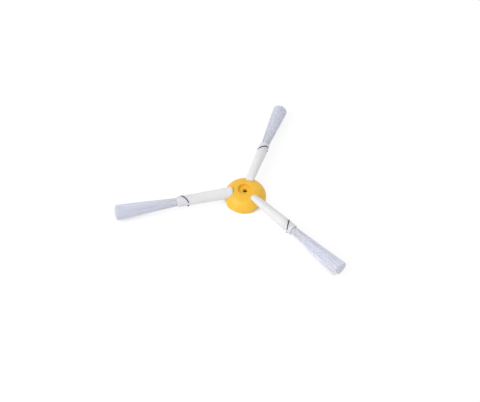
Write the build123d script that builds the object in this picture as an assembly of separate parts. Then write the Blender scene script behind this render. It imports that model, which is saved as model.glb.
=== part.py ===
from build123d import *
import os
from math import atan2, cos, hypot, radians, sin, sqrt

# Side brush of a robot vacuum: a domed hub, three soft arms, three bristle tufts and three wire staples.
# Millimetres, +Z up. The origin is on the turning axis, in the plane of the hub's bottom rim.
# Each arm, with its tuft and staple, is drawn in its own frame: X runs out along the arm, Z is up and
# Y is to the left of someone who looks outward. arm_place then sets the three of them round the hub.

# Hub
hub_radius = 12.4
hub_height = 8.5
hub_wall = 1.6
eaves_height = 3.0
crown_radius = 32.0
shoulder_radius = 6.0
shoulder_runs = 5
rim_bevel = 0.35
counterbore_diameter = 8.2
counterbore_depth = 2.0
counterbore_bevel = 0.35
fixing_bore_diameter = 2.8
boss_diameter = 10.8
socket_width = 5.8
socket_corner = 0.8
socket_depth = 4.4
rib_thickness = 1.2
rib_lift = 0.7
notch_width = 8.2
notch_height = 2.4
notch_corner = 1.0

# Arms
arm_count = 3
arm_inner_reach = 7.2
arm_outer_reach = 40.0
arm_root_height = 6.7
arm_droop = 1.2
root_width = 6.8
root_thickness = 4.2
root_pitch = -46.0
collar_length = 8.0
root_round = 1.1
root_round_runs = 2
taper_runs = 4
mouth_bevel = 0.25
seat_clearance = 0.05
seat_floor = 1.3
tab_length = 1.6
tab_width = 2.8
tab_inset = 1.2
barb_flare = 0.45
barb_length = 1.5

# Bristle tufts
filament_count = 62
filament_diameter = 0.31
filament_gap = 0.02
filament_sides = 4
tuft_reach = 76.0
tuft_tip_diameter = 9.5
tuft_ragged = 1.2
pocket_depth = 7.0
pocket_clearance = 0.04

# Wire staples
wire_width = 0.45
wire_clearance = 0.03
sleeve_skin = 0.1
staple_inset = 4.3
staple_skew = 35.0
crown_lift = 0.1
crown_flat = 0.5
crown_bend = 1.6
leg_bend = 0.55
clinch_length = 1.4
clinch_gap = 0.2

# The filaments stand on a sunflower spiral. On a disc of radius 1 its closest neighbours are
# this far apart, times the square root of the count.
golden_turn = 180.0 * (3.0 - sqrt(5.0))
spiral_spacing = 1.546

# Lengths along the sloping arm
slope = cos(radians(arm_droop))
arm_length = (arm_outer_reach - arm_inner_reach) / slope
taper_length = arm_length - collar_length
tuft_end = (tuft_reach - arm_inner_reach) / slope
pocket_floor = arm_length - pocket_depth
staple_place = arm_length - staple_inset

# The bundle is tight at the pocket's floor and fans out evenly from there
filament_radius = filament_diameter / 2
bundle_root = (filament_diameter + filament_gap) * sqrt(filament_count) / spiral_spacing
bundle_tip = tuft_tip_diameter / 2 - filament_radius
bundle_flare = (bundle_tip - bundle_root) / (tuft_end - pocket_floor)

# The sleeve leaves room for the staple's legs between the pocket and its own outside
pocket_root_radius = bundle_root + filament_radius + pocket_clearance
pocket_mouth_radius = pocket_root_radius + bundle_flare * pocket_depth
wire_room = wire_width / 2 + wire_clearance
leg_offset = pocket_mouth_radius + sleeve_skin + wire_room
arm_end_radius = leg_offset + wire_room + sleeve_skin

# Faces of the hub's walls, and how far a wall runs into the one that carries it
skirt_inner_radius = hub_radius - hub_wall
boss_radius = boss_diameter / 2
counterbore_radius = counterbore_diameter / 2
overlap = hub_wall / 4


def arm_angle(index):
    return index * 360.0 / arm_count


def arm_place(index):
    return Rot(0, 0, arm_angle(index)) * Pos(arm_inner_reach, 0, arm_root_height) * Rot(0, arm_droop, 0)


def across_arm(x):
    return Plane(origin=(x, 0, 0), x_dir=(0, 1, 0), z_dir=(1, 0, 0))


def sleeve_axes(x):
    """Half axes of the sleeve's oval, which turns evenly into the round collar at the far end."""
    share = min(x / taper_length, 1.0)
    wide = root_width / 2 * (1 - share) + arm_end_radius * share
    thin = root_thickness / 2 * (1 - share) + arm_end_radius * share
    return wide, thin


def sleeve_half_height(x):
    wide, thin = sleeve_axes(x)
    return hypot(wide * sin(radians(root_pitch)), thin * cos(radians(root_pitch)))


def sleeve_section(x, grow):
    wide, thin = sleeve_axes(x)
    return across_arm(x) * Ellipse(wide + grow, thin + grow, rotation=root_pitch)


def sleeve_half_width(x):
    wide, thin = sleeve_axes(x)
    return hypot(wide * cos(radians(root_pitch)), thin * sin(radians(root_pitch)))


def crown_height(radius):
    """Height of the dome's shallow crown at a distance from the turning axis."""
    return hub_height - crown_radius + sqrt(crown_radius**2 - radius**2)


def shoulder_points():
    """The round shoulder between skirt and crown, from the skirt up, as short straight runs."""
    round_radius = min(shoulder_radius, crown_height(hub_radius))
    middle = hub_radius - round_radius
    rise = sqrt((crown_radius - round_radius)**2 - middle**2)
    level = hub_height - crown_radius + rise
    turn = atan2(rise, middle) / shoulder_runs
    points = []
    for run in range(shoulder_runs + 1):
        points.append((middle + round_radius * cos(run * turn), level + round_radius * sin(run * turn)))
    return points


def hub_outline():
    """Half section of the dome and its counterbore, with the edges eased as the moulding has them."""
    floor = hub_height - counterbore_depth
    lip = counterbore_radius + counterbore_bevel
    lip_height = crown_height(lip)
    rim = [(0, 0), (hub_radius - rim_bevel, 0), (hub_radius, rim_bevel)]
    recess = [(lip, lip_height), (counterbore_radius, lip_height - counterbore_bevel)]
    recess += [(counterbore_radius, floor), (0, floor)]
    return make_face(Polyline(*rim, *shoulder_points(), *recess, close=True))


def hollow_outline():
    """Half section of the space under the dome, with a sloping roof inside the shoulder."""
    roof = crown_height(boss_radius) - hub_wall
    return make_face(Polyline((0, 0), (skirt_inner_radius, 0), (skirt_inner_radius, eaves_height),
                              (boss_radius, roof), (0, roof), close=True))


def post(radius, height):
    """A round post on the turning axis, from the rim plane up."""
    return Cylinder(radius, height, align=(Align.CENTER, Align.CENTER, Align.MIN))


def rib(index):
    length = skirt_inner_radius - boss_radius + 2 * overlap
    plate = Box(length, rib_thickness, hub_height, align=(Align.MIN, Align.CENTER, Align.MIN))
    half_step = 180.0 / arm_count
    return Rot(0, 0, arm_angle(index) + half_step) * Pos(boss_radius - overlap, 0, rib_lift) * plate


# The underside of the seat, where the barb of the arm's tab catches
seat_bottom = -sleeve_half_height(0.0) - seat_clearance - seat_floor


def arm_seat(index):
    """The block under an arm's root, between the boss and the skirt."""
    back = boss_radius - overlap - arm_inner_reach
    length = hub_radius - boss_radius + overlap
    width = 2 * (sleeve_half_width(0.0) + seat_clearance + seat_floor)
    block = Box(length, width, -seat_bottom, align=(Align.MIN, Align.CENTER, Align.MIN))
    return arm_place(index) * Pos(back, 0, seat_bottom) * block


def arm_trough(index):
    """The straight channel that an arm's root is pressed into, and the slot for its tab."""
    wide = sleeve_axes(0.0)[0] + seat_clearance
    thin = sleeve_axes(hub_radius - arm_inner_reach)[1] + seat_clearance
    section = across_arm(-seat_clearance) * SlotOverall(2 * wide, 2 * thin, rotation=root_pitch)
    slot = Box(tab_length + 2 * seat_clearance, tab_width + 2 * seat_clearance, 2 * hub_height)
    return arm_place(index) * (extrude(section, hub_radius) + Pos(tab_inset + tab_length / 2, 0, 0) * slot)


def rim_notch(index):
    """The opening in the skirt below an arm, square at the rim and rounded above."""
    outline = RectangleRounded(notch_width, 2 * notch_height, notch_corner)
    plane = Plane(origin=(skirt_inner_radius - overlap, 0, 0), x_dir=(0, 1, 0), z_dir=(1, 0, 0))
    return Rot(0, 0, arm_angle(index)) * extrude(plane * outline, hub_wall + 2 * overlap)


def hub():
    filling = post(boss_radius, hub_height - hub_wall / 2)
    for index in range(arm_count):
        filling += rib(index)
        filling += arm_seat(index)
    hollow = revolve(Plane.XZ * hollow_outline(), Axis.Z) - filling
    body = revolve(Plane.XZ * hub_outline(), Axis.Z) - hollow
    for index in range(arm_count):
        body -= arm_trough(index)
        body -= rim_notch(index)
    body -= post(fixing_bore_diameter / 2, hub_height)
    body -= extrude(RectangleRounded(socket_width, socket_width, socket_corner), socket_depth)
    return body


def staple_plane():
    """The upright plane of the staple, askew to the arm, with its right-hand end further out."""
    turn = radians(staple_skew)
    return Plane(origin=(staple_place, 0, 0), x_dir=(sin(turn), -cos(turn), 0),
                 z_dir=(-cos(turn), -sin(turn), 0))


def staple_path():
    """The bent wire's centre line: a crown over the sleeve, two legs, and tips clinched below."""
    skew = cos(radians(staple_skew))
    round_radius = sum(sleeve_axes(staple_place)) / 2
    leg = leg_offset / skew
    tip = leg - clinch_length
    flat = leg * crown_flat
    shoulder = sqrt(round_radius**2 - leg_offset**2) + crown_lift
    crown = sleeve_half_height(staple_place) + crown_lift
    under = -sqrt(round_radius**2 - (tip * skew)**2) - wire_width / 2 - clinch_gap
    run = [(-tip, under), (-leg, under), (-leg, shoulder), (-flat, crown)]
    run += [(flat, crown), (leg, shoulder), (leg, under), (tip, under)]
    bends = [leg_bend, leg_bend, crown_bend, crown_bend, leg_bend, leg_bend]
    return staple_plane() * FilletPolyline(*run, radius=bends)


def staple_wire(width):
    path = staple_path()
    start = Plane(origin=path @ 0, x_dir=staple_plane().z_dir, z_dir=path % 0)
    return sweep(start * Rectangle(width, width), path)


def pocket():
    return extrude(across_arm(pocket_floor) * Circle(pocket_mouth_radius), pocket_depth)


def tab():
    """A flat tab under the arm's root, with a barbed end that is drawn through the slot in the seat."""
    half = tab_length / 2
    barb_top = seat_bottom - seat_clearance
    side = [(half, 0), (half, barb_top)]
    side += [(half + barb_flare, barb_top), (half - barb_flare, barb_top - barb_length)]
    other_side = [(-x, z) for x, z in reversed(side)]
    outline = make_face(Polyline(*side, *other_side, close=True))
    return Pos(tab_inset + half, 0, 0) * extrude(Plane.XZ * outline, tab_width / 2, both=True)


def sleeve():
    """The arm's outside: rounded at the hub, an oval taper, and a round collar eased at the mouth."""
    sections = []
    for run in range(root_round_runs):
        turn = radians(90.0 * run / root_round_runs)
        sections.append(sleeve_section(root_round * (1 - cos(turn)), root_round * (sin(turn) - 1)))
    sections.append(sleeve_section(root_round, 0.0))
    tab_end = tab_inset + tab_length + sleeve_skin
    for run in range(taper_runs + 1):
        sections.append(sleeve_section(tab_end + (taper_length - tab_end) * run / taper_runs, 0.0))
    collar = [across_arm(taper_length) * Circle(arm_end_radius)]
    collar.append(across_arm(arm_length - mouth_bevel) * Circle(arm_end_radius))
    collar.append(across_arm(arm_length) * Circle(arm_end_radius - mouth_bevel))
    return loft(sections, ruled=True) + loft(collar, ruled=True)


def arm():
    return sleeve() + tab() - pocket() - staple_wire(2 * wire_room)


def filament(number):
    """One bristle: straight, from its place in the tight root to its place in the wide tip."""
    radius = sqrt((number + 0.5) / filament_count)
    turn = radians(number * golden_turn)
    start_x = pocket_floor + pocket_clearance
    start_radius = radius * (bundle_root + bundle_flare * pocket_clearance)
    start = Vector(start_x, start_radius * cos(turn), start_radius * sin(turn))
    end = Vector(tuft_end, radius * bundle_tip * cos(turn), radius * bundle_tip * sin(turn))
    line = end - start
    short = tuft_ragged * ((number * golden_turn / 360.0) % 1.0)
    section = Plane(origin=start, z_dir=line) * RegularPolygon(filament_radius, filament_sides)
    return extrude(section, line.length - short)


def tuft():
    return [filament(number) for number in range(filament_count)]


os.makedirs("parts", exist_ok=True)
export_step(hub(), "parts/hub.step")
one_arm = arm()
one_tuft = Compound(tuft())
one_staple = staple_wire(wire_width)
for number in range(arm_count):
    place = arm_place(number)
    export_step(place * one_arm, f"parts/arm_{number + 1}.step")
    export_step(place * one_tuft, f"parts/tuft_{number + 1}.step")
    export_step(place * one_staple, f"parts/staple_{number + 1}.step")
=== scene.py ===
import math
import random
import bmesh
import bpy
from mathutils import Matrix, Vector


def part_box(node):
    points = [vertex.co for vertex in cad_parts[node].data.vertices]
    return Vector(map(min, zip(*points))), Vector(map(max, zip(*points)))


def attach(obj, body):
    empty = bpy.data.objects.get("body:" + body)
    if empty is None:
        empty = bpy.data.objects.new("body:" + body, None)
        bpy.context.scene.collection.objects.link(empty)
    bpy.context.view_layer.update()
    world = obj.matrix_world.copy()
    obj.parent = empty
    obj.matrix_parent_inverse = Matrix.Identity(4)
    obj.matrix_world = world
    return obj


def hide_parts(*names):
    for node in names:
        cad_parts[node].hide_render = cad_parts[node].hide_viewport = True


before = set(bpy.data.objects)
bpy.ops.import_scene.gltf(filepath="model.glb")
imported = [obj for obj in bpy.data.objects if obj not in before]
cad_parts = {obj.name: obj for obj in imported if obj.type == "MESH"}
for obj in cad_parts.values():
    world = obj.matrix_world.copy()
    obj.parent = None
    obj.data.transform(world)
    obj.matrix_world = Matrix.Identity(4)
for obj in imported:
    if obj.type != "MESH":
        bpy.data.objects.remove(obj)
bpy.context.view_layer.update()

# The hub: one injection-moulded cap of satin yellow plastic, a shallow dome over a hollow
# with a drive boss, ribs and a seat for each arm. A counterbored hole goes through its middle,
# and the arms' roots are pressed into troughs in its flank.
MM = 0.001
hub_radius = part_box("hub")[1].y
hub_height = 8.5 * MM
hub_wall = 1.6 * MM
eaves_height = 3.0 * MM
crown_radius = 32.0 * MM
shoulder_radius = 6.0 * MM
rim_round = 0.35 * MM
counterbore_radius = 4.1 * MM
counterbore_depth = 2.0 * MM
lip_round = 0.55 * MM
bore_radius = 1.4 * MM
bore_round = 0.2 * MM
boss_radius = 5.4 * MM
hollow_round = 0.4 * MM
socket_width = 5.8 * MM
socket_corner = 0.8 * MM
socket_depth = 4.4 * MM
rib_thickness = 1.2 * MM
rib_lift = 0.7 * MM
notch_width = 8.2 * MM
notch_height = 2.4 * MM
notch_corner = 1.0 * MM
moulded_edge = 0.08 * MM
hub_crease = math.radians(38)
weld_gap = 0.05 * MM
lathe_steps = 144
bend_steps = 6

# The arms' roots lie in the hub, so their line and section are needed here first.
arm_count = 3
arm_inner_reach = 7.2 * MM
arm_outer_reach = 40.0 * MM
arm_root_height = 6.7 * MM
arm_droop = math.radians(1.2)
root_pitch = math.radians(-46.0)
root_half_width = 3.4 * MM
root_half_thickness = 2.1 * MM
root_round = 1.1 * MM
arm_length = (arm_outer_reach - arm_inner_reach) / math.cos(arm_droop)
collar_length = 8.0 * MM
taper_length = arm_length - collar_length
collar_radius = 3.06 * MM
arm_steps = 72
seat_clearance = 0.05 * MM
seat_floor = 1.3 * MM
seat_round = 0.2 * MM
tab_inset = 1.2 * MM
tab_length = 1.6 * MM
tab_width = 2.8 * MM


def turned(steps):
    """A turn about the hub's axis, counted in steps from one arm to the next."""
    return Matrix.Rotation(steps * math.tau / arm_count, 4, "Z")


def arm_place(index):
    """From an arm's own frame, X outward along it and Z up, to its place round the hub."""
    root = Matrix.Translation((arm_inner_reach, 0, arm_root_height))
    return turned(index) @ root @ Matrix.Rotation(arm_droop, 4, "Y")


def rounded(points, radii, closed):
    """A flat outline with each corner replaced by an arc of its radius; a radius of 0 stays sharp."""
    line = []
    last = len(points) - 1
    nearly_straight = 1e-4
    for place, (point, radius) in enumerate(zip(points, radii)):
        corner = Vector(point)
        if radius == 0 or (not closed and place in (0, last)):
            line.append(corner)
            continue
        back = (Vector(points[place - 1]) - corner).normalized()
        ahead = (Vector(points[(place + 1) % len(points)]) - corner).normalized()
        half = math.acos(max(-1.0, min(1.0, back.dot(ahead)))) / 2
        if math.pi / 2 - half < nearly_straight:
            line.append(corner)
            continue
        centre = corner + (back + ahead).normalized() * radius / math.sin(half)
        first = corner + back * radius / math.tan(half) - centre
        final = corner + ahead * radius / math.tan(half) - centre
        sweep = first.angle_signed(final)
        for step in range(bend_steps + 1):
            line.append(centre + Matrix.Rotation(-sweep * step / bend_steps, 2) @ first)
    return line


def placed(name, mesh):
    """A finished mesh as an object in the scene, its faces all turned outward."""
    bmesh.ops.recalc_face_normals(mesh, faces=mesh.faces)
    data = bpy.data.meshes.new(name)
    mesh.to_mesh(data)
    mesh.free()
    piece = bpy.data.objects.new(name, data)
    bpy.context.scene.collection.objects.link(piece)
    return piece


def shape(name, loops, around=False):
    """A closed mesh object through loops of points; around joins the last loop to the first."""
    mesh = bmesh.new()
    rows = [[mesh.verts.new(point) for point in loop] for loop in loops]
    pairs = list(zip(rows, rows[1:]))
    if around:
        pairs.append((rows[-1], rows[0]))
    for near, far in pairs:
        for place in range(len(near)):
            after = (place + 1) % len(near)
            mesh.faces.new((near[place], near[after], far[after], far[place]))
    if not around:
        mesh.faces.new(list(reversed(rows[0])))
        mesh.faces.new(rows[-1])
    return placed(name, mesh)


def lathe(name, outline):
    """A closed outline of (radius, height) turned round the Z axis."""
    loops = []
    for radius, height in outline:
        loop = []
        for step in range(lathe_steps):
            turn = math.tau * step / lathe_steps
            loop.append((radius * math.cos(turn), radius * math.sin(turn), height))
        loops.append(loop)
    return shape(name, loops, around=True)


def prism(name, outline, depth, place):
    """A flat outline pushed out along its own Z by depth, then set in place."""
    near = [place @ Vector((x, y, 0)) for x, y in outline]
    far = [place @ Vector((x, y, depth)) for x, y in outline]
    return shape(name, [near, far])


def rectangle(width, height, corner=0.0):
    """A flat rectangle about its middle, with rounded corners where a radius is given."""
    x, y = width / 2, height / 2
    return rounded([(-x, -y), (x, -y), (x, y), (-x, y)], [corner] * 4, True)


def combine(piece, others, operation):
    """Cuts the other meshes out of a piece, or joins them to it, and removes them."""
    for other in others:
        step = piece.modifiers.new("combine", "BOOLEAN")
        step.object = other
        step.operation = operation
        step.solver = "EXACT"
        depsgraph = bpy.context.evaluated_depsgraph_get()
        result = bpy.data.meshes.new_from_object(piece.evaluated_get(depsgraph))
        piece.modifiers.clear()
        piece.data = result
        bpy.data.objects.remove(other)


def weld(piece):
    """Joins points that the cuts left closer together than the weld gap."""
    mesh = bmesh.new()
    mesh.from_mesh(piece.data)
    bmesh.ops.remove_doubles(mesh, verts=mesh.verts, dist=weld_gap)
    bmesh.ops.dissolve_degenerate(mesh, edges=mesh.edges, dist=weld_gap)
    mesh.to_mesh(piece.data)
    mesh.free()


def shade(piece, crease):
    """Smooth shading, except across edges that turn by more than the crease angle."""
    piece.data.polygons.foreach_set("use_smooth", [True] * len(piece.data.polygons))
    piece.data.set_sharp_from_angle(angle=crease)


def crown_at(radius):
    """The height of the dome's crown at a distance from the axis."""
    return hub_height - crown_radius + math.sqrt(crown_radius**2 - radius**2)


def hub_outline():
    """Half section of the solid dome: rim, skirt, shoulder, crown, counterbore and fixing hole."""
    middle = hub_radius - shoulder_radius
    rise = math.sqrt((crown_radius - shoulder_radius)**2 - middle**2)
    level = hub_height - crown_radius + rise
    shoulder_end = math.atan2(rise, middle)
    crown_steps, shoulder_steps = 6, 14
    skirt = [(0.0, 0.0), (hub_radius, 0.0), (hub_radius, level)]
    outline = rounded(skirt, [0, rim_round, 0], False)[1:-1]
    for step in range(shoulder_steps + 1):
        turn = shoulder_end * step / shoulder_steps
        outline.append(Vector((middle + shoulder_radius * math.cos(turn),
                               level + shoulder_radius * math.sin(turn))))
    crown_start = outline[-1].x
    lip_start = counterbore_radius + 2 * lip_round
    for step in range(1, crown_steps):
        radius = crown_start + (lip_start - crown_start) * step / crown_steps
        outline.append(Vector((radius, crown_at(radius))))
    floor = hub_height - counterbore_depth
    edge = [(lip_start, crown_at(lip_start)), (counterbore_radius, crown_at(counterbore_radius)),
            (counterbore_radius, floor), (bore_radius, floor), (bore_radius, 0.0)]
    outline += rounded(edge, [0, lip_round, bore_round, bore_round, 0], False)
    return outline


def hollow_outline():
    """Half section of the space under the dome, round the boss."""
    roof = crown_at(boss_radius) - hub_wall
    skirt = hub_radius - hub_wall
    corners = [(boss_radius, -hub_wall), (skirt, -hub_wall), (skirt, eaves_height), (boss_radius, roof)]
    return rounded(corners, [0, 0, hollow_round, hollow_round], True)


def sleeve_loop(x, grow, ridge=0.0):
    """The oval of an arm at a distance along it, with a parting ridge at its two edges."""
    share = min(x / taper_length, 1.0)
    wide = root_half_width * (1 - share) + collar_radius * share + grow
    thin = root_half_thickness * (1 - share) + collar_radius * share + grow
    loop = []
    for step in range(arm_steps):
        turn = math.tau * step / arm_steps
        reach = wide + ridge if step % (arm_steps // 2) == 0 else wide
        oval = Vector((reach * math.cos(turn), thin * math.sin(turn)))
        lean = Matrix.Rotation(root_pitch, 2) @ oval
        loop.append(Vector((x, lean.x, lean.y)))
    return loop


def sleeve_loops(length, grow, ridge):
    """The sleeve from its rounded root out to a length."""
    loops = []
    round_steps, taper_steps = 7, 16
    for step in range(1, round_steps):
        turn = math.pi / 2 * step / round_steps
        x = (root_round + grow) * (1 - math.cos(turn)) - grow
        loops.append(sleeve_loop(x, (root_round + grow) * (math.sin(turn) - 1) + grow))
    for step in range(taper_steps + 1):
        x = root_round + (length - root_round) * step / taper_steps
        loops.append(sleeve_loop(x, grow, ridge))
    return loops


hub = lathe("brush_hub", hub_outline())
hollow = lathe("hub_hollow", hollow_outline())
across_arm = Matrix(((0, 0, 1, 0), (1, 0, 0, 0), (0, 1, 0, 0), (0, 0, 0, 1)))
pitch_cos, pitch_sin = math.cos(root_pitch), math.sin(root_pitch)
seat_half_width = math.hypot(root_half_width * pitch_cos, root_half_thickness * pitch_sin)
seat_drop = math.hypot(root_half_width * pitch_sin, root_half_thickness * pitch_cos)
seat_bottom = -seat_drop - seat_clearance - seat_floor
fillings, cuts = [], []
for index in range(arm_count):
    place = arm_place(index)
    spoke = turned(index + 0.5) @ Matrix.Translation(((boss_radius + hub_radius) / 2, 0, rib_lift))
    rib_outline = rectangle(hub_radius - boss_radius + hub_wall, rib_thickness)
    fillings.append(prism("rib", rib_outline, hub_height, spoke))
    seat = place @ Matrix.Translation((hub_radius / 2 - arm_inner_reach / 2, 0, seat_bottom))
    seat_outline = rectangle(hub_radius, 2 * (seat_half_width + seat_clearance + seat_floor), seat_round)
    fillings.append(prism("seat", seat_outline, -seat_bottom, seat))
    trough = shape("trough", sleeve_loops(hub_radius, seat_clearance, 0.0))
    trough.data.transform(place)
    cuts.append(trough)
    slot = place @ Matrix.Translation((tab_inset + tab_length / 2, 0, -hub_height))
    slot_outline = rectangle(tab_length + 2 * seat_clearance, tab_width + 2 * seat_clearance)
    cuts.append(prism("slot", slot_outline, hub_height, slot))
    notch_start = Matrix.Translation((hub_radius - hub_wall - bore_round, 0, 0))
    notch_outline = rectangle(notch_width, 2 * notch_height, notch_corner)
    cuts.append(prism("notch", notch_outline, 2 * hub_wall, turned(index) @ notch_start @ across_arm))
socket_start = Matrix.Translation((0, 0, -hub_wall))
socket_outline = rectangle(socket_width, socket_width, socket_corner)
cuts.append(prism("socket", socket_outline, socket_depth + hub_wall, socket_start))
combine(hollow, fillings, "DIFFERENCE")
combine(hub, [hollow] + cuts, "DIFFERENCE")
weld(hub)
easing = hub.modifiers.new("moulded edges", "BEVEL")
easing.width = moulded_edge
easing.segments = 2
easing.use_clamp_overlap = False
easing.limit_method = "ANGLE"
easing.angle_limit = hub_crease
shade(hub, hub_crease)


def new_group(name, inputs, outputs):
    """An empty shader node group with named number sockets, and its input and output nodes."""
    group = bpy.data.node_groups.new(name, "ShaderNodeTree")
    for socket, value in inputs.items():
        entry = group.interface.new_socket(socket, in_out="INPUT", socket_type="NodeSocketFloat")
        entry.default_value = value
    for socket in outputs:
        group.interface.new_socket(socket, in_out="OUTPUT", socket_type="NodeSocketFloat")
    return group, group.nodes.new("NodeGroupInput"), group.nodes.new("NodeGroupOutput")


def group_node(tree, group, **values):
    """A node group placed in a material with that material's own values."""
    node = tree.nodes.new("ShaderNodeGroup")
    node.node_tree = group
    for name, value in values.items():
        node.inputs[name.replace("_", " ")].default_value = value
    return node


def moulded_skin_group():
    """Fine mould grain, soft cloudiness and slow flow marks, as masks of a given size each."""
    sizes = {"Grain Size": 0.25 * MM, "Cloud Size": 6 * MM, "Flow Size": 12 * MM}
    group, inside, outside = new_group("moulded skin", sizes, ("Grain", "Cloud", "Flow"))
    nodes, links = group.nodes, group.links
    place = nodes.new("ShaderNodeTexCoord")
    for name, detail, distortion in (("Grain", 2.0, 0.0), ("Cloud", 3.0, 0.0), ("Flow", 1.0, 1.2)):
        scale = nodes.new("ShaderNodeMath")
        scale.operation = "DIVIDE"
        scale.inputs[0].default_value = 1.0
        links.new(inside.outputs[name + " Size"], scale.inputs[1])
        noise = nodes.new("ShaderNodeTexNoise")
        noise.inputs["Detail"].default_value = detail
        noise.inputs["Distortion"].default_value = distortion
        links.new(place.outputs["Object"], noise.inputs["Vector"])
        links.new(scale.outputs[0], noise.inputs["Scale"])
        links.new(noise.outputs["Fac"], outside.inputs[name])
    return group


def tinted(tree, mask, dark, light):
    """A colour that follows a mask from dark to light, each a fixed colour or another socket."""
    mix = tree.nodes.new("ShaderNodeMix")
    mix.data_type = "RGBA"
    for name, colour in (("A", dark), ("B", light)):
        if isinstance(colour, tuple):
            mix.inputs[name].default_value = (*colour, 1)
        else:
            tree.links.new(colour, mix.inputs[name])
    tree.links.new(mask, mix.inputs["Factor"])
    return mix.outputs["Result"]


def spread(tree, mask, low, high):
    """A mask's middle range stretched to run from low to high."""
    middle_start, middle_end = 0.3, 0.7
    ranged = tree.nodes.new("ShaderNodeMapRange")
    ranged.inputs["From Min"].default_value = middle_start
    ranged.inputs["From Max"].default_value = middle_end
    ranged.inputs["To Min"].default_value = low
    ranged.inputs["To Max"].default_value = high
    tree.links.new(mask, ranged.inputs["Value"])
    return ranged.outputs["Result"]


def raised(tree, height, depth, shader):
    """Bump of that depth on a shader's normal."""
    bump = tree.nodes.new("ShaderNodeBump")
    bump.inputs["Strength"].default_value = 1.0
    bump.inputs["Distance"].default_value = depth
    tree.links.new(height, bump.inputs["Height"])
    tree.links.new(bump.outputs["Normal"], shader.inputs["Normal"])


def lit_within(shader, share, depths):
    """A share of the light goes in and spreads, to a depth of its own in red, green and blue."""
    shader.inputs["Subsurface Weight"].default_value = share
    shader.inputs["Subsurface Radius"].default_value = depths
    shader.inputs["Subsurface Scale"].default_value = 1.0


def new_material(name):
    """A material with its node tree and its shader."""
    material = bpy.data.materials.new(name)
    material.use_nodes = True
    return material, material.node_tree, material.node_tree.nodes["Principled BSDF"]


hub_dark = (0.84, 0.475, 0.022)
hub_light = (0.92, 0.545, 0.040)
hub_roughness = (0.38, 0.48)
hub_grain_depth = 0.012 * MM
hub_glow_share = 0.12
hub_glow_depths = (1.6 * MM, 0.8 * MM, 0.2 * MM)
moulded_skin = moulded_skin_group()
hub_plastic, tree, shader = new_material("yellow hub plastic")
skin = group_node(tree, moulded_skin, Grain_Size=0.3 * MM, Cloud_Size=9 * MM, Flow_Size=14 * MM)
cloud = spread(tree, skin.outputs["Cloud"], 0, 1)
tree.links.new(tinted(tree, cloud, hub_dark, hub_light), shader.inputs["Base Color"])
tree.links.new(spread(tree, skin.outputs["Flow"], *hub_roughness), shader.inputs["Roughness"])
raised(tree, skin.outputs["Grain"], hub_grain_depth, shader)
lit_within(shader, hub_glow_share, hub_glow_depths)
hub.data.materials.append(hub_plastic)
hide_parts("hub")
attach(hub, "root")

# The arms: soft white rubber sleeves, moulded with an oval root that turns into a round collar.
# A barbed tab under each root holds it in the hub, and the collar has a blind pocket for bristles.
# A fine parting line runs along both edges of the oval.
pocket_radius = 2.1 * MM
pocket_depth = 7.0 * MM
mouth_radius = 2.45 * MM
mouth_depth = 2.0 * MM
mouth_round = 0.5 * MM
parting_height = 0.03 * MM
barb_flare = 0.45 * MM
barb_length = 1.5 * MM
arm_crease = math.radians(50)

# The staple's wire goes through the collar, so its line is needed here first.
wire_radius = 0.25 * MM
wire_clearance = 0.03 * MM
wire_sides = 12
staple_place = arm_length - 4.3 * MM
staple_skew = math.radians(35.0)
leg_offset = 2.705 * MM
leg_bend = 0.55 * MM
crown_bend = 1.6 * MM
crown_lift = 0.09 * MM
clinch_length = 1.4 * MM
clinch_gap = 0.2 * MM


def round_loop(x, radius):
    """A circle round the arm's line at a distance along it."""
    loop = []
    for step in range(arm_steps):
        turn = math.tau * step / arm_steps + root_pitch
        loop.append(Vector((x, radius * math.cos(turn), radius * math.sin(turn))))
    return loop


def arm_loops():
    """The sleeve from its rounded root to the mouth, and back down the pocket to its floor."""
    loops = sleeve_loops(taper_length, 0.0, parting_height)
    loops.append(round_loop(arm_length - pocket_depth / 2, collar_radius))
    for step in range(bend_steps + 1):
        turn = math.pi / 2 * step / bend_steps
        loops.append(round_loop(arm_length - mouth_round * (1 - math.sin(turn)),
                                collar_radius - mouth_round * (1 - math.cos(turn))))
    loops.append(round_loop(arm_length, mouth_radius))
    loops.append(round_loop(arm_length - mouth_depth, pocket_radius))
    loops.append(round_loop(arm_length - pocket_depth, pocket_radius))
    return loops


def tab_outline():
    """Side view of the barbed tab, from the middle of the root down."""
    half = tab_length / 2
    barb_top = seat_bottom - seat_clearance
    side = [(half, 0), (half, barb_top), (half + barb_flare, barb_top),
            (half - barb_flare, barb_top - barb_length)]
    return side + [(-x, z) for x, z in reversed(side)]


def staple_line():
    """The wire's centre line in its own upright plane: tip, leg, crown, leg, tip."""
    skew = math.cos(staple_skew)
    leg = leg_offset / skew
    tip = leg - clinch_length
    flat = leg / 2
    shoulder = math.sqrt(collar_radius**2 - leg_offset**2) + crown_lift
    crown = collar_radius + crown_lift
    under = -math.sqrt(collar_radius**2 - (tip * skew)**2) - wire_radius - clinch_gap
    way_out = -math.sqrt(collar_radius**2 - leg_offset**2) - 2 * wire_radius
    side = [(flat, crown), (leg, shoulder), (leg, way_out), (tip, under)]
    line = [(-p, q) for p, q in reversed(side)] + side
    bends = [0, leg_bend, leg_bend, crown_bend, crown_bend, leg_bend, leg_bend, 0]
    return rounded(line, bends, False)


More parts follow.
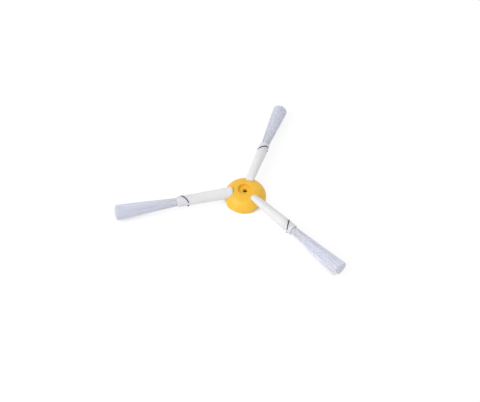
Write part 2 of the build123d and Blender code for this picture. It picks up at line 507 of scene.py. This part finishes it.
def wire_loops(radius):
    """Rings round the staple's line, in the arm's frame."""
    ahead = Vector((math.sin(staple_skew), -math.cos(staple_skew), 0))
    aside = Vector((math.cos(staple_skew), math.sin(staple_skew), 0))
    middle = Vector((staple_place, 0, 0))
    points = [middle + ahead * p + Vector((0, 0, q)) for p, q in staple_line()]
    loops = []
    for place, point in enumerate(points):
        along = points[min(place + 1, len(points) - 1)] - points[max(place - 1, 0)]
        rise = along.normalized().cross(aside)
        loop = []
        for step in range(wire_sides):
            turn = math.tau * step / wire_sides
            loop.append(point + (aside * math.cos(turn) + rise * math.sin(turn)) * radius)
        loops.append(loop)
    return loops


def reach_group():
    """A mask that rises from 0 to 1 between two distances from the hub's middle."""
    group, inside, outside = new_group("reach from the hub", {"Start": 0.0, "End": 1.0}, ("Mask",))
    nodes, links = group.nodes, group.links
    where = nodes.new("ShaderNodeTexCoord")
    reach = nodes.new("ShaderNodeVectorMath")
    reach.operation = "LENGTH"
    links.new(where.outputs["Object"], reach.inputs[0])
    ranged = nodes.new("ShaderNodeMapRange")
    links.new(reach.outputs["Value"], ranged.inputs["Value"])
    links.new(inside.outputs["Start"], ranged.inputs["From Min"])
    links.new(inside.outputs["End"], ranged.inputs["From Max"])
    links.new(ranged.outputs["Result"], outside.inputs["Mask"])
    return group


arm_dark = (0.755, 0.755, 0.765)
arm_light = (0.80, 0.80, 0.81)
collar_dark = (0.685, 0.685, 0.73)
collar_light = (0.73, 0.73, 0.77)
collar_tint_start = arm_outer_reach - 1.2 * pocket_depth
collar_tint_end = arm_outer_reach - 0.5 * pocket_depth
arm_roughness = (0.5, 0.62)
arm_grain_depth = 0.010 * MM
arm_glow_share = 0.2
arm_glow_depths = (1.2 * MM, 1.2 * MM, 1.3 * MM)
reach_from_hub = reach_group()
arm_rubber, tree, shader = new_material("white arm rubber")
skin = group_node(tree, moulded_skin, Grain_Size=0.18 * MM, Cloud_Size=7 * MM, Flow_Size=20 * MM)
over_pocket = group_node(tree, reach_from_hub, Start=collar_tint_start, End=collar_tint_end)
cloud = spread(tree, skin.outputs["Cloud"], 0, 1)
sleeve_tint = tinted(tree, cloud, arm_dark, arm_light)
collar_tint = tinted(tree, cloud, collar_dark, collar_light)
arm_tint = tinted(tree, over_pocket.outputs["Mask"], sleeve_tint, collar_tint)
tree.links.new(arm_tint, shader.inputs["Base Color"])
tree.links.new(spread(tree, skin.outputs["Flow"], *arm_roughness), shader.inputs["Roughness"])
raised(tree, skin.outputs["Grain"], arm_grain_depth, shader)
lit_within(shader, arm_glow_share, arm_glow_depths)
tab_middle = tab_inset + tab_length / 2
along_arm = Matrix(((1, 0, 0, tab_middle), (0, 0, -1, tab_width / 2), (0, 1, 0, 0), (0, 0, 0, 1)))
for index in range(arm_count):
    arm = shape(f"arm_sleeve_{index + 1}", arm_loops())
    combine(arm, [prism("tab", tab_outline(), tab_width, along_arm)], "UNION")
    combine(arm, [shape("wire_way", wire_loops(wire_radius + wire_clearance))], "DIFFERENCE")
    weld(arm)
    arm.data.transform(arm_place(index))
    shade(arm, arm_crease)
    arm.data.materials.clear()
    arm.data.materials.append(arm_rubber)
    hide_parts(f"arm_{index + 1}")
    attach(arm, "root")

# The staples: bent steel wire that pins each bristle bundle in its collar. The crown lies askew
# over the top of the arm, the legs go down through the rubber beside the bundle, and the tips are
# clinched below.
wire_dark = (0.012, 0.012, 0.014)
wire_light = (0.045, 0.045, 0.05)
wire_roughness = (0.3, 0.5)
wire_grain_depth = 0.006 * MM
wire_crease = math.radians(50)
wire_steel, tree, shader = new_material("drawn staple wire")
skin = group_node(tree, moulded_skin, Grain_Size=0.12 * MM, Cloud_Size=1.5 * MM, Flow_Size=4 * MM)
cloud = spread(tree, skin.outputs["Cloud"], 0, 1)
tree.links.new(tinted(tree, cloud, wire_dark, wire_light), shader.inputs["Base Color"])
tree.links.new(spread(tree, skin.outputs["Grain"], *wire_roughness), shader.inputs["Roughness"])
raised(tree, skin.outputs["Grain"], wire_grain_depth, shader)
shader.inputs["Metallic"].default_value = 1.0
for index in range(arm_count):
    staple = shape(f"staple_wire_{index + 1}", wire_loops(wire_radius))
    staple.data.transform(arm_place(index))
    shade(staple, wire_crease)
    staple.data.materials.append(wire_steel)
    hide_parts(f"staple_{index + 1}")
    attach(staple, "root")

# The bristle tufts: bundles of clear bluish nylon filaments, packed tight in the pocket and fanned
# out to a slightly crowned end. The last stretch of each tuft and its outward-facing cut ends carry
# painted
# light: they are painted paler so that they look lit. Each filament bends a little its own way. On the
# first tuft the lower edge of the fan has parted near its end and left two loose strands.
tuft_reach = 76.0 * MM
cut_allowance = 0.25 * MM
tuft_end = (tuft_reach - arm_inner_reach) / math.cos(arm_droop) + cut_allowance
bundle_root = 2.0 * MM
bundle_mouth = 2.36 * MM
bundle_tip = 4.6 * MM
bundle_flatness = 0.94
filament_radius = 0.06 * MM
end_radius = 0.14 * MM
end_crown = 1.0 * MM
filament_count = 900
filament_sides = 5
fan_steps = 6
tip_turn_error = 0.03
tip_reach_least = 0.97
ragged = 0.3 * MM
cut_lean = 0.075
sway = 0.12 * MM
golden_turn = math.pi * (3 - math.sqrt(5))
edge_side = Vector((-0.86, -0.51))
edge_along = Vector((0.51, -0.86))
parted_from = 2.6 * MM
drawn_back = (1.0, 1.6)
strand_places = [3.5 * MM] * 12 + [4.5 * MM] * 9
strand_root_share = 0.95
strand_width = 0.14 * MM
strand_depth = 0.8 * MM
filament_crease = math.radians(80)
first_seed = 40


def filament_ends(chance):
    """Root, tip and parting of each filament across the arm, on a sunflower spiral."""
    ends = []
    for number in range(filament_count):
        share = math.sqrt((number + 0.5) / filament_count)
        turn = number * golden_turn
        tip_turn = turn + chance.uniform(-tip_turn_error, tip_turn_error)
        root = Vector((math.cos(turn), math.sin(turn))) * bundle_root * share
        reach = bundle_tip * share * chance.uniform(tip_reach_least, 1.0)
        tip = Vector((math.cos(tip_turn), math.sin(tip_turn) * bundle_flatness)) * reach
        ends.append((root, tip, Vector((0, 0))))
    return ends


def part_edge(ends, chance):
    """Draws the filaments of one edge back into the fan and adds the two strands beside it."""
    parted = []
    for root, tip, parting in ends:
        over = tip.dot(edge_side) - parted_from
        if over > 0:
            parting = -edge_side * over * chance.uniform(*drawn_back)
        parted.append((root, tip, parting))
    for place in strand_places:
        root = edge_side * bundle_root * strand_root_share
        root += edge_along * chance.uniform(-strand_depth, strand_depth) / 2
        across = chance.uniform(-strand_width, strand_width)
        tip = edge_side * (place + across) + edge_along * chance.uniform(-strand_depth, strand_depth)
        parted.append((root, tip, Vector((0, 0))))
    return parted


def filament_line(root, tip, parting, chance):
    """A filament's points: straight out of the pocket, wider at the mouth, then out to its cut end."""
    floor_x = arm_length - pocket_depth + filament_radius
    end_x = tuft_end - cut_lean * (bundle_tip - tip.x) - ragged * chance.random()**2
    end_x -= end_crown * (tip.length / bundle_tip)**3
    bend = Vector((chance.uniform(-sway, sway), chance.uniform(-sway, sway)))
    mouth = root * bundle_mouth / bundle_root
    points = [Vector((floor_x, root.x, root.y)), Vector((arm_length - mouth_depth, root.x, root.y))]
    for step in range(fan_steps):
        share = step / (fan_steps - 1)
        across = mouth.lerp(tip, share) + bend * 4 * share**2 * (1 - share) + parting * share**3
        points.append(Vector((arm_length + (end_x - arm_length) * share, across.x, across.y)))
    return points


def filament_tube(mesh, line):
    """Adds one filament to a mesh: a tube along its points that thickens along the fan, with flat ends."""
    rows = []
    for place, point in enumerate(line):
        along = (line[min(place + 1, len(line) - 1)] - line[max(place - 1, 0)]).normalized()
        aside = along.cross(Vector((0, 0, 1))).normalized()
        rise = aside.cross(along)
        fan_place = max(place + fan_steps - len(line), 0) / (fan_steps - 1)
        radius = filament_radius + (end_radius - filament_radius) * fan_place
        row = []
        for step in range(filament_sides):
            turn = math.tau * step / filament_sides
            around = aside * math.cos(turn) + rise * math.sin(turn)
            row.append(mesh.verts.new(point + around * radius))
        rows.append(row)
    for near, far in zip(rows, rows[1:]):
        for step in range(filament_sides):
            after = (step + 1) % filament_sides
            mesh.faces.new((near[step], near[after], far[after], far[step]))
    mesh.faces.new(list(reversed(rows[0])))
    mesh.faces.new(rows[-1])


root_tint = (0.775, 0.78, 0.835)
length_tint = (0.785, 0.80, 0.91)
# Painted light: the colour of the last stretch of each tuft is paler so that the ends look lit.
end_painted_light = (0.83, 0.845, 0.945)
# Painted light: the near-white colour given to the filaments' cut ends so that they look lit.
cut_painted_light = (0.96, 0.965, 0.99)
tint_and_end_light_stops = ((0.0, root_tint), (0.4, length_tint), (0.95, length_tint), (1.0, end_painted_light))
tint_variety = (0.94, 1.06)
cut_facing = 0.7
nylon_roughness = (0.3, 0.45)
nylon_ior = 1.53
nylon, tree, shader = new_material("bluish bristle nylon")
along_tuft = group_node(tree, reach_from_hub, Start=arm_outer_reach, End=tuft_reach)
ramp = tree.nodes.new("ShaderNodeValToRGB")
stops = ramp.color_ramp.elements
for position, colour in tint_and_end_light_stops[1:-1]:
    stops.new(position)
for stop, (position, colour) in zip(stops, tint_and_end_light_stops):
    stop.position = position
    stop.color = (*colour, 1)
tree.links.new(along_tuft.outputs["Mask"], ramp.inputs["Fac"])
surface = tree.nodes.new("ShaderNodeNewGeometry")
where = tree.nodes.new("ShaderNodeTexCoord")
outward = tree.nodes.new("ShaderNodeVectorMath")
outward.operation = "NORMALIZE"
tree.links.new(where.outputs["Object"], outward.inputs[0])
facing = tree.nodes.new("ShaderNodeVectorMath")
facing.operation = "DOT_PRODUCT"
tree.links.new(outward.outputs["Vector"], facing.inputs[0])
tree.links.new(surface.outputs["True Normal"], facing.inputs[1])
# Painted light mask: faces turned out from the hub, the filaments' cut ends, get the pale painted colour.
painted_light_on_cuts = tree.nodes.new("ShaderNodeMath")
painted_light_on_cuts.operation = "GREATER_THAN"
painted_light_on_cuts.inputs[1].default_value = cut_facing
tree.links.new(facing.outputs["Value"], painted_light_on_cuts.inputs[0])
variety = tree.nodes.new("ShaderNodeMapRange")
variety.inputs["To Min"].default_value, variety.inputs["To Max"].default_value = tint_variety
tree.links.new(surface.outputs["Random Per Island"], variety.inputs["Value"])
tint = tree.nodes.new("ShaderNodeHueSaturation")
tree.links.new(variety.outputs["Result"], tint.inputs["Value"])
tree.links.new(tinted(tree, painted_light_on_cuts.outputs[0], ramp.outputs["Color"], cut_painted_light), tint.inputs["Color"])
tree.links.new(tint.outputs["Color"], shader.inputs["Base Color"])
skin = group_node(tree, moulded_skin, Grain_Size=0.4 * MM, Cloud_Size=4 * MM, Flow_Size=10 * MM)
tree.links.new(spread(tree, skin.outputs["Cloud"], *nylon_roughness), shader.inputs["Roughness"])
shader.inputs["IOR"].default_value = nylon_ior
for index in range(arm_count):
    chance = random.Random(first_seed + index)
    ends = filament_ends(chance)
    if index == 0:
        ends = part_edge(ends, chance)
    bundle = bmesh.new()
    for root, tip, parting in ends:
        filament_tube(bundle, filament_line(root, tip, parting, chance))
    tuft = placed(f"bristle_tuft_{index + 1}", bundle)
    tuft.data.transform(arm_place(index))
    shade(tuft, filament_crease)
    tuft.data.materials.append(nylon)
    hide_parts(f"tuft_{index + 1}")
    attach(tuft, "root")

# The studio: a pale floor that keeps a faint shadow and stays dark in closed corners, a white
# surround, one broad lamp from the front left and a camera at the height and distance that show
# the brush as in a catalogue.
floor_width = 8.0
floor_thickness = 0.01
floor_colour = (0.9, 0.9, 0.9)
floor_roughness = 0.9
floor_glow_strength = 1.05
floor_glow_share = 0.8
corner_reach = 12 * MM
corner_closed, corner_open = 0.1, 0.4
floor = prism("studio_floor", rectangle(floor_width, floor_width), -floor_thickness, Matrix.Identity(4))


def seen_rays(tree):
    """1 for rays from the camera or by way of a mirror or glass, and 0 for lighting."""
    path = tree.nodes.new("ShaderNodeLightPath")
    total = path.outputs["Is Camera Ray"]
    for name in ("Is Glossy Ray", "Is Transmission Ray"):
        step = tree.nodes.new("ShaderNodeMath")
        step.operation = "MAXIMUM"
        tree.links.new(total, step.inputs[0])
        tree.links.new(path.outputs[name], step.inputs[1])
        total = step.outputs[0]
    return total


floor_paper, tree, shader = new_material("pale floor")
shader.inputs["Base Color"].default_value = (*floor_colour, 1)
shader.inputs["Roughness"].default_value = floor_roughness
glow = tree.nodes.new("ShaderNodeEmission")
glow.inputs["Strength"].default_value = floor_glow_strength
open_sky = tree.nodes.new("ShaderNodeAmbientOcclusion")
open_sky.inputs["Distance"].default_value = corner_reach
glow_share = tree.nodes.new("ShaderNodeMapRange")
glow_share.inputs["From Min"].default_value = corner_closed
glow_share.inputs["From Max"].default_value = corner_open
glow_share.inputs["To Max"].default_value = floor_glow_share
tree.links.new(open_sky.outputs["AO"], glow_share.inputs["Value"])
seen_share = tree.nodes.new("ShaderNodeMath")
seen_share.operation = "MULTIPLY"
tree.links.new(seen_rays(tree), seen_share.inputs[0])
tree.links.new(glow_share.outputs["Result"], seen_share.inputs[1])
both = tree.nodes.new("ShaderNodeMixShader")
tree.links.new(seen_share.outputs[0], both.inputs[0])
tree.links.new(shader.outputs[0], both.inputs[1])
tree.links.new(glow.outputs[0], both.inputs[2])
tree.links.new(both.outputs[0], tree.nodes["Material Output"].inputs["Surface"])
floor.data.materials.append(floor_paper)

fill_strength = 0.74
seen_strength = 1.0
world = bpy.data.worlds.new("white surround")
bpy.context.scene.world = world
world.use_nodes = True
tree = world.node_tree
surround = tree.nodes["Background"]
surround.inputs["Color"].default_value = (1, 1, 1, 1)
strength = tree.nodes.new("ShaderNodeMapRange")
strength.inputs["To Min"].default_value = fill_strength
strength.inputs["To Max"].default_value = seen_strength
tree.links.new(seen_rays(tree), strength.inputs["Value"])
tree.links.new(strength.outputs["Result"], surround.inputs["Strength"])

lamp_direction = Vector((-0.15, -0.75, 0.66)).normalized()
lamp_distance = 1.2
lamp_width = 0.9
lamp_power = 6.5
light = bpy.data.lights.new("front_left_lamp", "AREA")
light.shape = "DISK"
light.size = lamp_width
light.energy = lamp_power
lamp = bpy.data.objects.new("front_left_lamp", light)
lamp.location = lamp_direction * lamp_distance
lamp.rotation_mode = "QUATERNION"
lamp.rotation_quaternion = lamp_direction.to_track_quat("Z", "Y")
bpy.context.scene.collection.objects.link(lamp)

view_azimuth = math.radians(47.72)
view_elevation = math.radians(48.42)
view_distance = 416.7 * MM
picture_width = 480
focal_pixels = 705.6
hub_right_of_middle = 5.1
hub_above_middle = 3.1
camera_data = bpy.data.cameras.new("catalogue_camera")
camera_data.sensor_width = 36.0
camera_data.sensor_fit = "HORIZONTAL"
camera_data.lens = camera_data.sensor_width * focal_pixels / picture_width
camera_data.shift_x = -hub_right_of_middle / picture_width
camera_data.shift_y = -hub_above_middle / picture_width
camera_data.clip_start = 0.01
camera = bpy.data.objects.new("catalogue_camera", camera_data)
back = Vector((math.sin(view_azimuth) * math.cos(view_elevation),
               -math.cos(view_azimuth) * math.cos(view_elevation), math.sin(view_elevation)))
camera.location = back * view_distance
camera.rotation_mode = "QUATERNION"
camera.rotation_quaternion = (-back).to_track_quat("-Z", "Y")
bpy.context.scene.collection.objects.link(camera)
bpy.context.scene.camera = camera
bpy.context.scene.view_settings.view_transform = "Standard"
